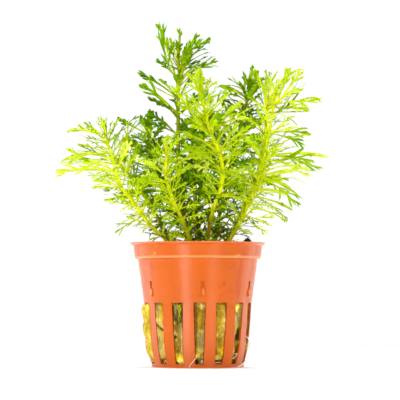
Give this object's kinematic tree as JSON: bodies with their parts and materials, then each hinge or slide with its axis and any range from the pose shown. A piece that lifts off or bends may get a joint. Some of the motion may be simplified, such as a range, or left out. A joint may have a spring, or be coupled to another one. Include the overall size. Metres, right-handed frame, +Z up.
{
  "type": "potted giant ambulia",
  "caption": "Bushy aquarium stem plant with finely divided yellow-green leaves, in a small slotted orange net pot with mineral wool.",
  "frame": {"origin": "centre of the pot's foot, on the surface that it stands on", "axes": "+Z up, +X to the viewer's right, +Y away from the viewer who sees the pictured side"},
  "size_m": [0.1114, 0.0818, 0.142],
  "materials": {
    "orange_plastic": "satin",
    "mineral_wool": "matte",
    "stem": "satin",
    "leaf": "satin",
    "root": "matte"
  },
  "bodies": {
    "root": {"pot": "orange_plastic", "mineral_wool": "mineral_wool", "root": "root", "stem_tall": "stem", "stem_front": "stem", "stem_right": "stem", "stem_front_right": "stem", "stem_low_left": "stem", "stem_left": "stem", "stem_front_left": "stem", "stem_middle": "stem", "stem_back_right": "stem", "stem_back_left": "stem", "whorl_tall_1": "leaf", "whorl_tall_2": "leaf", "whorl_tall_3": "leaf", "whorl_tall_4": "leaf", "whorl_tall_5": "leaf", "whorl_tall_6": "leaf", "whorl_tall_7": "leaf", "whorl_front_1": "leaf", "whorl_front_2": "leaf", "whorl_front_3": "leaf", "whorl_front_4": "leaf", "whorl_front_5": "leaf", "whorl_front_6": "leaf", "whorl_right_1": "leaf", "whorl_right_2": "leaf", "whorl_right_3": "leaf", "whorl_right_4": "leaf", "whorl_right_5": "leaf", "whorl_right_6": "leaf", "whorl_right_7": "leaf", "whorl_front_right_1": "leaf", "whorl_front_right_2": "leaf", "whorl_front_right_3": "leaf", "whorl_front_right_4": "leaf", "whorl_front_right_5": "leaf", "whorl_low_left_1": "leaf", "whorl_low_left_2": "leaf", "whorl_low_left_3": "leaf", "whorl_low_left_4": "leaf", "whorl_left_1": "leaf", "whorl_left_2": "leaf", "whorl_left_3": "leaf", "whorl_left_4": "leaf", "whorl_left_5": "leaf", "whorl_front_left_1": "leaf", "whorl_front_left_2": "leaf", "whorl_front_left_3": "leaf", "whorl_front_left_4": "leaf", "whorl_middle_1": "leaf", "whorl_middle_2": "leaf", "whorl_middle_3": "leaf", "whorl_back_right_1": "leaf", "whorl_back_right_2": "leaf", "whorl_back_right_3": "leaf", "whorl_back_left_1": "leaf", "whorl_back_left_2": "leaf", "whorl_back_left_3": "leaf"}
  },
  "joints": []
}
